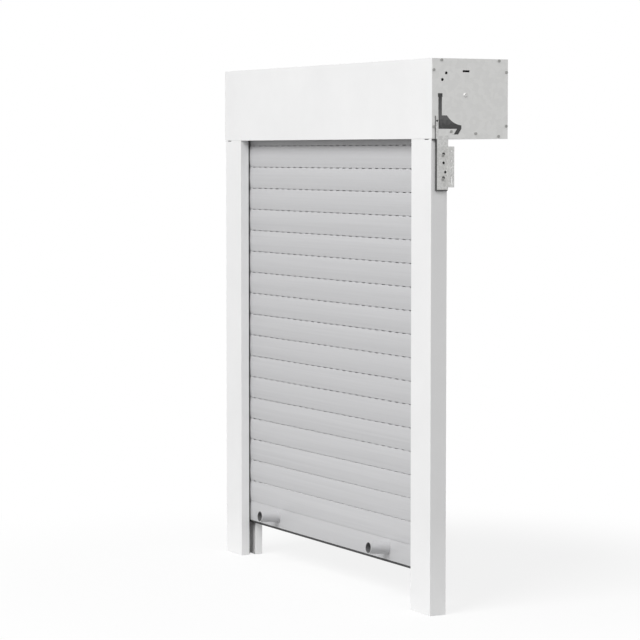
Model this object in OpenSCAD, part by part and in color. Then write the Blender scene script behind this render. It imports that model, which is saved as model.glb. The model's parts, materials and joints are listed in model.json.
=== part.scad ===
// Exterior roller shutter: an inward opening box over two guide rails, with a curtain of
// interlocking slats, a motor driven roller and a bolt-on bracket at each side.
// Inside the modules X runs across the shutter from its middle, Y from the front face towards
// the wall and Z up from the sill. Each module then moves its piece to the datum, which is the
// middle of the four bracket holes on the wall plane.

/* [Box] */
// Width of the box over its end plates
box_w = 1200; // [1000:10:1400]
// Height of the box
box_h = 200; // [190:1:240]
// Depth of the box
box_d = 220; // [205:1:260]
// Thickness of the box panels
panel_t = 1.5; // [1:0.1:2.5]
// Thickness of the steel end plates
plate_t = 1.5; // [1:0.1:3]
// Depth of the lip under the front panel
front_lip = 22; // [16:0.5:24]
// Width of the gap under the box that the curtain runs through
inlet_w = 48; // [44:0.5:60]
// Height of the stiffening folds at the panel edges
fold_h = 10; // [6:0.5:14]
// Height of the fold at the bottom cover's front edge
cover_fold_h = 5; // [3:0.5:6]

/* [Box fasteners] */
// Outer radius of the screw ports inside the panels
port_r = 3.4; // [3:0.1:4]
// Bore radius of the screw ports
port_bore_r = 1.9; // [1.7:0.05:2.2]
// Depth that the screw ports are sunk into their panels
port_sink = 0.5; // [0.3:0.1:0.9]
// Distance of the front panel's upper port below the top of the box
front_port_drop = 29; // [20:1:60]
// Height of the front panel's lower port above the underside of the box
front_port_rise = 30; // [20:1:60]
// Distance of the top panel's first port behind the front face
top_port_front = 27; // [18:1:32]
// Distance of the top panel's second port from the back of the box
top_port_back = 26; // [16:1:60]
// Distance of the rear panel's upper port below the top of the box
rear_port_drop = 33; // [20:1:60]
// Height of the rear panel's lower port above the underside of the box
rear_port_rise = 32; // [30:1:70]
// Distance of the bottom cover's first port from the back of the box
bottom_port_front = 94; // [60:1:110]
// Distance of the bottom cover's second port from the back of the box
bottom_port_back = 27; // [20:1:50]
// Heights of those two ports above the underside of the box
bottom_port_rise = [13, 6.5]; // [5:0.5:20]
// Radius of the end plate screws
screw_r = 1.75; // [1.5:0.05:1.85]
// Length of the end plate screws
screw_len = 18; // [12:1:30]
// Radius of the screw heads
screw_head_r = 3.6; // [3:0.1:4.2]
// Height of the screw heads
screw_head_h = 2.2; // [1.6:0.1:3]

/* [Stamped holes] */
// Radius of the two holes stamped into each end plate
stamp_hole_r = 3.75; // [3:0.05:4.5]
// Distances of those holes behind the front face
stamp_hole_y = [40, 29]; // [22:0.5:60]
// Heights of those holes above the underside of the box
stamp_hole_z = [163.5, 147]; // [130:0.5:180]
// Place of the stamped slot: behind the front face, above the underside of the box
stamp_slot = [97.5, 168.5]; // [80:0.5:180]
// Length and width of the stamped slot
stamp_slot_size = [20, 5]; // [3:0.5:30]

/* [Guide rails] */
// Height of the rails, from the sill to the underside of the box
rail_h = 1200; // [1000:10:1320]
// Width of the rail's front face
rail_w = 100; // [85:1:120]
// Distance of the rail's outer side inside the end of the box
rail_inset = 4; // [3:0.5:8]
// Depth of the rail's front leg
rail_front_d = 24; // [22:0.1:30]
// Width of the slot that the slats run in
slot_w = 21.2; // [18:0.1:24]
// Depth of that slot, across the shutter
slot_depth = 45; // [42:0.5:55]
// Depth of the rear chamber, behind the slot
rear_chamber_d = 20.8; // [15:0.1:30]
// Width of the rear chamber
rear_chamber_w = 53; // [52:0.5:58]
// Wall thickness of the rails
rail_wall = 1.8; // [1.4:0.1:2.4]
// Shadow gap between the rails and the box
rail_top_gap = 0.3; // [0.2:0.1:0.9]
// Thickness of the plugs that close the rails at the sill
rail_cap_t = 3; // [2:0.5:6]
// Height of each plug's peg inside the rail
rail_peg_h = 12; // [6:1:25]
// Width of the notch at the top of the rail's front wall
rail_notch_w = 22; // [12:1:30]
// Height of that notch
rail_notch_h = 2; // [1:0.1:5]
// Distance of the notch's middle from the rail's outer side
rail_notch_x = 24; // [18:1:40]
// Width of the sealing strips in the slot
seal_w = 8; // [5:0.5:12]
// Distance of the sealing strips behind the slot's mouth
seal_inset = 4; // [1:0.5:8]

/* [Curtain] */
// Height of the curtain's lower edge above the sill as it hangs
curtain_gap = 95; // [20:1:110]
// Distance from one slat to the next
slat_pitch = 60.4; // [57:0.1:64]
// Open height between two slats
slat_gap = 2.2; // [1.6:0.1:3]
// Thickness of a slat
slat_t = 9.1; // [8.4:0.1:9.4]
// Radius of a slat's curved face
slat_r = 190; // [150:1:240]
// Wall thickness of a slat
slat_wall = 1.1; // [0.9:0.05:1.3]
// How far the slats reach into the rail slots
slat_reach = 36; // [28:0.5:38]
// Depth of the step behind the neck at a slat's top edge
slat_step = 4.5; // [4.2:0.1:5]
// Drop of the lip behind a slat's lower edge
rear_lip_drop = 3.7; // [2.6:0.1:4.2]
// Thickness of the plastic caps on the slat ends
slat_cap_t = 1.5; // [1:0.1:2.5]
// Length of the pegs that hold those caps
slat_peg_len = 8; // [5:0.5:15]

/* [Slat hooks and light slits] */
// Distance of the neck that links two slats behind their front faces
neck_inset = 0.9; // [0.8:0.1:1.6]
// Thickness of that neck
neck_t = 1.3; // [1.1:0.05:1.5]
// Width of the hook head that the neck bends into
head_w = 4.2; // [3.8:0.1:4.4]
// Thickness of the hook head
head_t = 1.4; // [1.2:0.1:1.8]
// Thickness of the lips that carry the hook head
hook_lip_t = 1.4; // [1.2:0.1:1.8]
// Clearance above the lips and beside the neck
hook_clear = 0.2; // [0.15:0.05:0.3]
// Clearance beside the hook head in its pocket
head_clear = 0.5; // [0.3:0.05:0.6]
// Distance between two light slits
slit_pitch = 36.5; // [30:0.5:50]
// Length of a light slit
slit_len = 18; // [8:0.5:24]
// Height of a light slit
slit_h = 3.4; // [2:0.1:3.6]
// Distance of the slits below the lower edge of the next slat
slit_clear = 0.3; // [0.2:0.1:0.8]

/* [Bottom bar] */
// Height of the bottom bar
bar_h = 54.6; // [50:0.1:60]
// Wall thickness of the bottom bar
bar_wall = 1.7; // [1.4:0.1:1.9]
// Height of the rubber seal under the bar
bottom_seal_h = 7; // [5:0.5:9]
// Width of that seal
bottom_seal_w = 8; // [6:0.1:8.4]
// Distance of each stop from the middle of the shutter
stop_x = 321; // [200:1:400]
// Height of the stops above the bar's lower edge
stop_z = 31.5; // [28:0.5:36]
// Upward tilt of the stops towards their front end, in degrees
stop_tilt = 4.5; // [0:0.5:8]
// Outer radius of the stops
stop_r = 16; // [12:0.1:16.5]
// Wall thickness of the stops
stop_wall = 2.9; // [2:0.1:4]
// Reach of the stops in front of the bar
stop_len = 57; // [40:1:80]
// Thickness of the stops' closed end
stop_base = 5; // [4:0.5:8]
// Radius of the stop screws
stop_screw_r = 2; // [1.5:0.1:2.5]

/* [Roller and motor] */
// Distance of the roller's axis behind the front face
roller_y = 96; // [92:1:106]
// Height of the roller's axis above the underside of the box
roller_z = 109; // [100:1:115]
// Width across the flats of the octagonal tube
tube_sw = 60; // [56:0.5:64]
// Wall thickness of the tube
tube_wall = 1.2; // [0.8:0.1:1.6]
// Distance between each end of the tube and its end plate
tube_end_gap = 40; // [36:1:60]
// Length of the idler plug in the tube
plug_len = 80; // [50:1:150]
// Thickness of the collar on the idler plug
plug_collar_t = 3; // [2:0.5:6]
// Radius of the idler pin
pin_r = 6; // [5:0.1:6.5]
// Length of the pin inside the plug
pin_grip = 60; // [30:1:75]
// Clearance of the tube's inner fittings
fitting_clear = 0.1; // [0.05:0.05:0.2]
// Radius of the tubular motor
motor_r = 22.5; // [20:0.1:23]
// Wall thickness of the motor's case
motor_wall = 1.5; // [1:0.1:2.5]
// Length of the motor's case
motor_len = 460; // [350:5:520]
// Radius of the motor's head
motor_head_r = 26; // [24:0.5:28]
// Gap between the motor's head and the tube
motor_head_gap = 2; // [1:0.5:5]
// Thickness of the motor's mounting plate
motor_plate_t = 4; // [3:0.5:6]
// Side of the motor's mounting plate
motor_plate_w = 64; // [60:1:80]
// Distance from the axis to each screw of the mounting plate
motor_screw_off = 24; // [20:0.5:26]
// Length of the gearbox in the motor's case
gearbox_len = 110; // [60:5:200]
// Radius of the motor's output shaft
shaft_r = 6; // [5:0.1:8]
// Length of the shaft inside the gearbox
shaft_grip = 30; // [15:1:50]
// Length of the drive wheel and of the limit crown
wheel_len = 30; // [20:1:50]
// Gap between the motor's case and the drive wheel
wheel_gap = 3; // [1:0.5:8]

/* [Idler bearing] */
// Outer radius of the ball bearing
bearing_r = 16; // [15:0.1:20]
// Width of the ball bearing
bearing_w = 10; // [8:0.1:12]
// Radius of the balls
ball_r = 2.2; // [1.8:0.05:2.4]
// Number of balls
ball_n = 8; // [5:1:9]
// Gap between the two bearing rings
race_gap = 2.6; // [2:0.1:3]
// Width of the ball cage
cage_w = 7; // [6:0.1:7.8]
// Wall thickness of the bearing holder
holder_wall = 4; // [3:0.1:6]
// Thickness of the holder's base, against the end plate
holder_base = 3; // [2:0.1:5]
// Radius of the stud that rivets the holder to the end plate
stud_r = 5; // [4:0.1:7]
// Height of the stud's head outside the end plate
stud_h = 2.5; // [1.5:0.1:4]
// Taper of the stud's head, on the radius
stud_taper = 1; // [0.5:0.1:1.5]
// Running clearance of turning fits, on the radius
run_clear = 0.06; // [0.04:0.01:0.1]
// Clearance of pressed and glued fits, on the radius
press_clear = 0.02; // [0.01:0.01:0.03]
// Clearance at the ends of turning pieces
end_clear = 0.4; // [0.3:0.1:1]

/* [Curtain hangers] */
// Number of hangers
hanger_n = 3; // [2:1:5]
// Distance between two hangers
hanger_pitch = 380; // [150:5:420]
// Width of the hanger straps
strap_w = 25; // [15:1:40]
// Thickness of the hanger straps
strap_t = 0.8; // [0.5:0.1:1.2]
// Clearance between the straps and the tube
strap_clear = 0.2; // [0.1:0.05:0.5]
// Length of each strap on top of the tube
strap_grip = 22; // [14:0.5:24]
// Width of the hanger clips on the top slat
clip_w = 40; // [25:1:60]
// Height of the hanger clips
clip_h = 10; // [9:0.5:12]

/* [Slat inlet funnels] */
// Distance of the funnel's front rib behind the front face
funnel_y = 18; // [17:0.5:22]
// Height of the funnel's lower edge above the underside of the box
funnel_z = 25; // [20:0.5:32]
// Width of the funnel's front rib
rib_w = 9.5; // [8:0.5:11]
// Width of the head at the top of that rib
rib_head_w = 12.5; // [11:0.5:13]
// Height of that head
rib_head_h = 9; // [5:0.5:15]
// Height of the funnel's front rib
rib_h = 88; // [60:1:100]
// Height of the funnel's curved rear guide
guide_h = 33; // [28:0.5:45]
// Depth of the rear guide
guide_d = 66; // [60:0.5:70]
// Depth of the rear guide's flat top
guide_top_d = 24.5; // [22:0.5:28]
// Height of the rear guide's far end
guide_end_h = 8.5; // [6:0.5:14]
// Radius of the curve between the flat top and the far end
guide_r = 56; // [50:1:120]
// Drop of the hook at the far end of the rear guide
hook_drop = 14; // [8:0.5:16]
// Width of that hook
hook_w = 12; // [8:0.5:14]
// How far the hook leans forward at its lower end
hook_lean = 9.5; // [4:0.5:12]
// Inset of the funnel from the rail's inner edge
funnel_inset = 6; // [2:0.5:12]
// How far the funnel stands out of the end plate
funnel_proud = 0.6; // [0.2:0.1:1.5]
// Distance of the funnel's screw behind the middle of the rear guide
funnel_screw_shift = 4; // [0:0.5:6]
// Length of that screw inside the funnel
funnel_screw_grip = 8; // [6:0.5:14]
// Clearance between the curtain and the guides
guide_clear = 0.6; // [0.4:0.05:1]

/* [Wall brackets] */
// Thickness of the bracket sheet
bracket_t = 2; // [1.5:0.1:3]
// Distance of the bracket's front edge behind the front face
bracket_y = 13; // [11:0.5:16]
// Distance of the tongue's front edge behind the front face
tongue_y = 9.5; // [8:0.5:10.5]
// Height of the bracket's side plate
bracket_h = 135; // [130:1:150]
// Height of the side plate's top edge above the underside of the box
bracket_rise = 8; // [4:0.5:11]
// Width of the flange on the wall
flange_w = 32; // [26:0.5:45]
// Height of the flange
flange_h = 102; // [95:1:115]
// Distance of the flange's top edge below the box
flange_drop = 19; // [15:0.5:25]
// Distance of the flange holes from the side plate's inner face
flange_hole_x = 21; // [17:0.5:30]
// Distance of the upper flange hole below the box
hole_drop_top = 31; // [28:0.5:36]
// Distance of the middle flange hole below the box
hole_drop_mid = 55; // [50:0.5:60]
// Distance of the lower flange hole below the box
hole_drop_low = 71; // [67:0.5:78]
// Distance of the flange slot below the box
slot_drop = 103; // [95:0.5:108]
// Radius of the flange holes, and half the width of the slot
flange_hole_r = 2.75; // [2:0.05:3.5]
// Length of the upright flange slot
flange_slot_len = 20; // [12:0.5:24]
// Gap between the bracket's tongue and the funnel's rib
tongue_gap = 1; // [0.5:0.1:3]
// Height of the tongue above the underside of the box
tongue_h = 57; // [40:1:70]
// Radius of the tongue screw's sunk head, as a share of the tongue's width
tongue_head_share = 0.35; // [0.33:0.01:0.4]
// Distance of the tongue's screw below the tongue's top edge
tongue_screw_drop = 12.5; // [8:0.5:20]
// Distance of the keyholes behind the bracket's front edge
keyhole_y = 19; // [16:0.5:22]
// Distances of the two keyholes below the box
keyhole_drop = [38.5, 97.5]; // [30:0.5:110]
// Radius of the keyholes' round ends
keyhole_r = 4.4; // [4:0.1:5]
// Place of the bolt in a keyhole: distance forward and down from the round end
keyhole_run = [2.4, 3]; // [2:0.1:4]
// Distances of the bracket screws behind the bracket's front edge
bracket_screw_y = [19, 24]; // [14:0.5:26]
// Distances of the bracket screws below the box
bracket_screw_drop = [60, 83]; // [52:0.5:88]
// Length of the bracket's screws and bolts inside the rail and the pad
bracket_screw_len = 14; // [10:0.5:20]
// Radius of the bracket's screws and bolts
bracket_screw_r = 2; // [1.5:0.1:2.5]
// Radius of the bracket screws' sunk heads
bracket_head_r = 3.4; // [3:0.1:4]
// How far the rubber pad shows around the bracket
pad_margin = 2.5; // [1:0.5:4]
// How far the pad shows in front of the tongue
pad_tongue_margin = 1; // [0.5:0.1:2]
// Height of the pad's tab at the front corner of the rail
pad_tab_h = 3; // [2:0.5:8]

/* [Cable grommet] */
// Radius of the grommet's bore
cable_r = 4; // [3:0.1:5]
// Radius of the grommet's neck in the rear panel
grommet_neck_r = 7; // [6:0.1:8]
// Radius of the grommet's flanges
grommet_r = 9; // [8.5:0.1:11]
// Thickness of the grommet's flanges
grommet_flange_t = 2; // [1.5:0.1:4]
// Distance of the grommet from the left end of the box
grommet_x = 45; // [30:1:80]
// Height of the grommet above the underside of the box
grommet_z = 16.5; // [14:0.5:17.5]

/* [Hidden] */
$fn = 48;
overlap = 1;

// Slats needed so that the closed curtain still ends inside the box
slat_h = slat_pitch - slat_gap;
first_slat_rise = bottom_seal_h + bar_h + slat_gap;
slat_n = ceil((rail_h - first_slat_rise) / slat_pitch);
function slat_name(k) = str("slat_", k < 10 ? "0" : "", k);
function slat_z(k) = curtain_gap + first_slat_rise + (k - 1) * slat_pitch;
bar_z = curtain_gap + bottom_seal_h;

// Ends of the box and faces of the rails
plate_x = box_w / 2 - plate_t;
rail_outer_x = box_w / 2 - rail_inset;
rail_inner_x = rail_outer_x - rail_w;
slot_floor_x = rail_inner_x + slot_depth;
rail_side_d = rail_front_d + slot_w;
rail_d = rail_side_d + rear_chamber_d;
wall_y = rail_side_d;
box_z = rail_h;

// Curtain section, measured from the middle of the rail slot
curtain_y = rail_front_d + slot_w / 2;
slat_end_x = rail_inner_x + slat_reach;
function sag(h) = slat_r - sqrt(slat_r * slat_r - h * h / 4);
face_y = -(slat_t + sag(slat_h)) / 2;
edge_y = sag(slat_h) / 2;
rear_y = edge_y + slat_t / 2;
neck_y = edge_y - slat_t / 2 + neck_inset;
pocket_y = neck_y - hook_clear;
pocket_w = head_w + hook_clear + head_clear;
pocket_h = head_t + slat_gap + 2 * hook_clear;
pocket_top = hook_lip_t + pocket_h;
mouth_w = neck_t + 2 * hook_clear;
slit_n = floor(2 * slat_end_x / slit_pitch);
bar_axis_y = curtain_y + edge_y - slat_t / 2 - sag(bar_h) + slat_r;
stop_y = bar_axis_y - sqrt(slat_r * slat_r - pow(stop_z - bar_h / 2, 2));

// Roller parts along X
tube_x = plate_x - tube_end_gap;
tube_in_sw = tube_sw - 2 * tube_wall;
axis_z = box_z + roller_z;
motor_head_len = tube_end_gap - motor_plate_t - motor_head_gap;
motor_x = -plate_x + motor_plate_t + motor_head_len;
motor_end_x = motor_x + motor_len;
bearing_x = plate_x - holder_base - bearing_w;
ball_ring_r = (pin_r + bearing_r) / 2;
groove_r = ball_r + run_clear;

// Screw ports of the panels: heights on the front and rear panels, places behind the front on
// the top panel, and both on the bottom cover, whose ports stand on webs
port_off = panel_t + port_r - port_sink;
front_ports = [box_h - front_port_drop, front_port_rise];
top_ports = [top_port_front, box_d - top_port_back];
rear_ports = [box_h - rear_port_drop, rear_port_rise];
bottom_ports = [
    [box_d - bottom_port_front, bottom_port_rise[0]],
    [box_d - bottom_port_back, bottom_port_rise[1]]];
plate_screw_points = concat(
    [for (z = front_ports) [port_off, z]],
    [for (y = top_ports) [y, box_h - port_off]],
    [for (z = rear_ports) [box_d - port_off, z]],
    bottom_ports);
motor_screw_points = [[roller_y - motor_screw_off, roller_z], [roller_y + motor_screw_off, roller_z]];
funnel_screw = [funnel_y + guide_d / 2 + funnel_screw_shift, funnel_z - hook_drop / 2];

// Keyholes, bolts and screws of the brackets: place behind the front face and distance below
// the box
keyhole_points = [for (drop = keyhole_drop) [bracket_y + keyhole_y, drop]];
bolt_points = [for (p = keyhole_points) [p[0] - keyhole_run[0], p[1] + keyhole_run[1]]];
bracket_screw_points = [for (i = [0:len(bracket_screw_y) - 1])
    [bracket_y + bracket_screw_y[i], bracket_screw_drop[i]]];
bracket_bottom = bracket_h - bracket_rise;
tongue_w = funnel_y - tongue_y - tongue_gap;
tongue_screw = [tongue_y + tongue_w / 2, tongue_h - tongue_screw_drop];
tongue_head_r = tongue_w * tongue_head_share;
stamp_holes = [for (i = [0:len(stamp_hole_y) - 1]) [stamp_hole_y[i], stamp_hole_z[i]]];

datum = [0, wall_y, box_z - (hole_drop_top + hole_drop_low) / 2];

white = [0.93, 0.93, 0.93];
light_grey = [0.78, 0.78, 0.79];
galvanised = [0.74, 0.75, 0.75];
steel = [0.62, 0.63, 0.65];
dark_plastic = [0.24, 0.25, 0.25];
rubber = [0.1, 0.1, 0.1];
motor_grey = [0.35, 0.36, 0.38];
brass = [0.75, 0.62, 0.35];

// Moves a finished piece from the drawing frame to the datum
module at_datum() {
    translate(-datum) children();
}

// The right-hand piece and its mirror image
module both_sides() {
    children();
    mirror([1, 0, 0]) children();
}

// A section drawn as (Y, Z), run along X between two places
module along_x(x0, x1) {
    translate([x0, 0, 0]) rotate([90, 0, 90]) linear_extrude(height = x1 - x0) children();
}

// A round bar along X between two places, on a point given as (Y, Z)
module rod_x(x0, x1, r, p) {
    translate([x0, p[0], p[1]]) rotate([0, 90, 0]) cylinder(r = r, h = x1 - x0);
}

// A place on the roller's axis
module on_axis(x) {
    translate([x, roller_y, axis_z]) rotate([0, 90, 0]) children();
}

// An eight-sided bar on the roller's axis, with a flat on top
module octagon_bar(x0, x1, sw) {
    on_axis(x0) rotate(180 / 8) cylinder(r = sw / 2 / cos(180 / 8), h = x1 - x0, $fn = 8);
}

// Box panels, drawn as (Y, Z) above the underside of the box

module screw_port() {
    difference() {
        circle(port_r);
        circle(port_bore_r);
    }
}

module panel_run() {
    translate([0, 0, box_z]) along_x(-plate_x, plate_x) children();
}

module front_panel() {
    color(white) at_datum() panel_run() {
        square([panel_t, box_h]);
        square([front_lip, panel_t]);
        translate([front_lip - panel_t, 0]) square([panel_t, fold_h]);
        for (z = front_ports) translate([port_off, z]) screw_port();
    }
}

module top_panel() {
    color(white) at_datum() panel_run() {
        translate([panel_t, box_h - panel_t]) square([box_d - 2 * panel_t, panel_t]);
        for (y = [panel_t, box_d - 2 * panel_t])
            translate([y, box_h - fold_h]) square([panel_t, fold_h]);
        for (y = top_ports) translate([y, box_h - port_off]) screw_port();
    }
}

module rear_panel() {
    color(white) at_datum() difference() {
        panel_run() {
            translate([box_d - panel_t, 0]) square([panel_t, box_h]);
            translate([box_d - panel_t - fold_h, panel_t]) square([fold_h + panel_t, panel_t]);
            for (z = rear_ports) translate([box_d - port_off, z]) screw_port();
        }
        translate(grommet_place())
            rotate([-90, 0, 0])
            cylinder(r = grommet_neck_r + press_clear, h = 4 * panel_t, center = true);
    }
}

module bottom_cover() {
    cover_y = front_lip + inlet_w;
    color(white) at_datum() panel_run() {
        translate([cover_y, 0]) square([box_d - panel_t - cover_y, panel_t]);
        translate([cover_y, 0]) square([panel_t, cover_fold_h]);
        for (p = bottom_ports) {
            translate(p) screw_port();
            translate([p[0] - panel_t / 2, 0]) square([panel_t, p[1] - port_r + port_sink]);
        }
    }
}

// End plates

module end_plate_sheet() {
    difference() {
        translate([0, 0, box_z]) along_x(plate_x, box_w / 2) difference() {
            square([box_d, box_h]);
            funnel_section(press_clear + fitting_clear);
            translate(stamp_slot) square(stamp_slot_size, center = true);
            for (p = stamp_holes) translate(p) circle(stamp_hole_r);
            for (p = plate_screw_points) translate(p) circle(screw_r + fitting_clear);
            translate(funnel_screw) circle(screw_r + fitting_clear);
            translate(tongue_screw) circle(bracket_screw_r + fitting_clear);
        }
        children();
    }
}

module right_end_plate() {
    color(galvanised) at_datum() end_plate_sheet()
        on_axis(plate_x - overlap) cylinder(r = stud_r + press_clear, h = plate_t + 2 * overlap);
}

module left_end_plate() {
    color(galvanised) at_datum() mirror([1, 0, 0]) end_plate_sheet()
        for (p = motor_screw_points)
            rod_x(plate_x - overlap, box_w / 2 + overlap, screw_r + fitting_clear, [p[0], box_z + p[1]]);
}

// A slotted pan-head screw, driven inwards until its head lies on a face
module pan_screw(face_x, r, p, len) {
    difference() {
        union() {
            rod_x(face_x - len, face_x + screw_head_h / 2, r, p);
            rod_x(face_x, face_x + screw_head_h, screw_head_r, p);
        }
        translate([face_x + screw_head_h, p[0], p[1]])
            cube([screw_head_h, screw_head_r / 4, 1.5 * screw_head_r], center = true);
    }
}

module plate_screw(p, len) {
    pan_screw(box_w / 2, screw_r, [p[0], box_z + p[1]], len);
}

module plate_screws() {
    color(steel) at_datum() {
        both_sides() {
            for (p = plate_screw_points) plate_screw(p, screw_len);
            plate_screw(funnel_screw, plate_t + funnel_screw_grip);
        }
        mirror([1, 0, 0])
            for (p = motor_screw_points) plate_screw(p, plate_t + motor_plate_t);
    }
}

// Slat inlet funnels: a front rib and a curved rear guide that lead the slats into the rails

// The outward direction of an edge, and an outline moved outwards by a given distance
function outward(a, b) = [b[1] - a[1], a[0] - b[0]] / norm(b - a);
function grown(points, grow) = [for (i = [0:len(points) - 1]) let (
    n1 = outward(points[(i + len(points) - 1) % len(points)], points[i]),
    n2 = outward(points[i], points[(i + 1) % len(points)]))
    points[i] + grow * (n1 + n2) / (1 + n1 * n2)];

module funnel_section(grow) {
    guide_outline = [
        [0, 0], [guide_d - hook_w, 0], [guide_d - hook_w - hook_lean, -hook_drop],
        [guide_d - hook_lean, -hook_drop], [guide_d, 0], [guide_d, guide_h], [0, guide_h]];
    curve_run = [guide_d - guide_top_d, guide_end_h - guide_h];
    curve_rise = sqrt(guide_r * guide_r - curve_run * curve_run / 4);
    curve_centre = [guide_top_d, guide_h] + curve_run / 2
        + curve_rise * [-curve_run[1], curve_run[0]] / norm(curve_run);
    translate([funnel_y, funnel_z]) {
        translate([-grow, -grow]) square([rib_w + 2 * grow, rib_h + grow]);
        translate([(rib_w - rib_head_w) / 2 - grow, rib_h - rib_head_h - grow])
            square([rib_head_w + 2 * grow, rib_head_h + 2 * grow]);
        difference() {
            polygon(grown(guide_outline, grow));
            translate(curve_centre) circle(guide_r - grow);
        }
    }
}

// The rear guide also carries the ear that takes the funnel's screw
module funnel_ear() {
    translate([funnel_screw[0] - 2 * port_r, funnel_z - hook_drop])
        square([4 * port_r, hook_drop + overlap]);
}

module inlet_funnel() {
    channel_y = curtain_y + face_y - guide_clear;
    channel_w = rear_y - face_y + 2 * guide_clear;
    difference() {
        translate([0, 0, box_z]) union() {
            along_x(rail_inner_x + funnel_inset, box_w / 2 + funnel_proud) funnel_section(0);
            along_x(slot_floor_x, plate_x) funnel_ear();
        }
        translate([rail_inner_x, channel_y, box_z])
            cube([slot_depth, channel_w, box_h]);
        translate([0, 0, box_z])
            rod_x(plate_x - 2 * funnel_screw_grip, plate_x + overlap,
                  screw_r + fitting_clear, funnel_screw);
    }
}

module inlet_funnels() {
    color(dark_plastic) at_datum() both_sides() inlet_funnel();
}

// Guide rails, drawn as (distance from the inner edge, Y)

module rail_outline() {
    polygon([
        [0, 0], [rail_w, 0], [rail_w, rail_side_d], [rear_chamber_w, rail_side_d],
        [rear_chamber_w, rail_d], [0, rail_d], [0, rail_side_d],
        [slot_depth, rail_side_d], [slot_depth, rail_front_d], [0, rail_front_d]]);
}

module front_chamber(gap) {
    translate([rail_wall + gap, rail_wall + gap])
        square([rail_w - 2 * (rail_wall + gap), rail_front_d - 2 * (rail_wall + gap)]);
}

module rail_section() {
    difference() {
        rail_outline();
        front_chamber(0);
        translate([slot_depth + rail_wall, rail_front_d])
            square([rail_w - slot_depth - 2 * rail_wall, slot_w - rail_wall]);
        translate([rail_wall, rail_side_d + rail_wall])
            square([rear_chamber_w - 2 * rail_wall, rear_chamber_d - 2 * rail_wall]);
    }
}

module rail() {
    difference() {
        translate([rail_inner_x, 0, rail_cap_t])
            linear_extrude(height = rail_h - rail_top_gap - rail_cap_t) rail_section();
        translate([rail_outer_x - rail_notch_x - rail_notch_w / 2, -rail_wall / 2,
                   rail_h - rail_top_gap - rail_notch_h])
            cube([rail_notch_w, 2 * rail_wall, 2 * rail_notch_h]);
        rail_side_holes();
    }
}

// Holes for the bracket's bolts and screws, as deep as those reach
module rail_side_holes() {
    for (p = concat(bolt_points, bracket_screw_points))
        rod_x(box_w / 2 - bracket_screw_len - overlap, box_w / 2 + overlap,
              bracket_screw_r + fitting_clear, [p[0], box_z - p[1]]);
}

module right_rail() {
    color(white) at_datum() rail();
}

module left_rail() {
    color(white) at_datum() mirror([1, 0, 0]) rail();
}

// Rubber sealing strips on both walls of the slot, just clear of the slats
module rail_seals() {
    front_t = slot_w / 2 + face_y - guide_clear / 2;
    rear_t = slot_w / 2 - rear_y - guide_clear / 2;
    color(rubber) at_datum() both_sides()
        translate([rail_inner_x + seal_inset, rail_front_d, rail_cap_t]) {
            cube([seal_w, front_t, rail_h - rail_top_gap - rail_cap_t]);
            translate([0, slot_w - rear_t, 0]) cube([seal_w, rear_t, rail_h - rail_top_gap - rail_cap_t]);
        }
}

module rail_end_caps() {
    color(white) at_datum() both_sides() translate([rail_inner_x, 0, 0]) {
        linear_extrude(height = rail_cap_t) rail_outline();
        linear_extrude(height = rail_cap_t + rail_peg_h) front_chamber(fitting_clear);
    }
}

// Wall brackets: a side plate on the rail, a flange on the wall and a tongue up the end plate

module bracket_side() {
    difference() {
        translate([bracket_y, -bracket_bottom]) square([wall_y - bracket_y, bracket_h]);
        for (p = keyhole_points) translate([p[0], -p[1]]) keyhole();
    }
    translate([tongue_y, 0]) square([tongue_w, tongue_h]);
}

// A round end that passes the bolt's head and a slot that its shank slides into
module keyhole() {
    slot_r = bracket_screw_r + fitting_clear;
    circle(keyhole_r);
    translate(-keyhole_run) circle(slot_r);
    rotate(atan2(-keyhole_run[1], -keyhole_run[0]))
        translate([0, -slot_r]) square([norm(keyhole_run), 2 * slot_r]);
}

module wall_bracket() {
    flange_y = wall_y - bracket_t;
    hole_x = box_w / 2 + flange_hole_x;
    difference() {
        translate([0, 0, box_z]) union() {
            along_x(box_w / 2, box_w / 2 + bracket_t) bracket_side();
            translate([box_w / 2, flange_y, -flange_drop - flange_h])
                cube([flange_w, bracket_t, flange_h]);
        }
        for (p = bracket_screw_points) head_hole(bracket_head_r, [p[0], box_z - p[1]]);
        head_hole(tongue_head_r, [tongue_screw[0], box_z + tongue_screw[1]]);
        for (drop = [hole_drop_top, hole_drop_mid, hole_drop_low])
            flange_cut(hole_x, box_z - drop);
        for (end = [-1, 1])
            flange_cut(hole_x, box_z - slot_drop + end * (flange_slot_len / 2 - flange_hole_r));
        translate([hole_x, flange_y + bracket_t / 2, box_z - slot_drop])
            cube([2 * flange_hole_r, 2 * bracket_t, flange_slot_len - 2 * flange_hole_r], center = true);
    }
}

// One hole through the side plate, for a sunk screw head
module head_hole(head_r, p) {
    rod_x(box_w / 2 - overlap, box_w / 2 + bracket_t + overlap, head_r + fitting_clear, p);
}

// One round hole through the flange
module flange_cut(x, z) {
    translate([x, wall_y + overlap, z]) rotate([90, 0, 0])
        cylinder(r = flange_hole_r, h = bracket_t + 2 * overlap);
}

module wall_brackets() {
    color(galvanised) at_datum() both_sides() wall_bracket();
}

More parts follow.
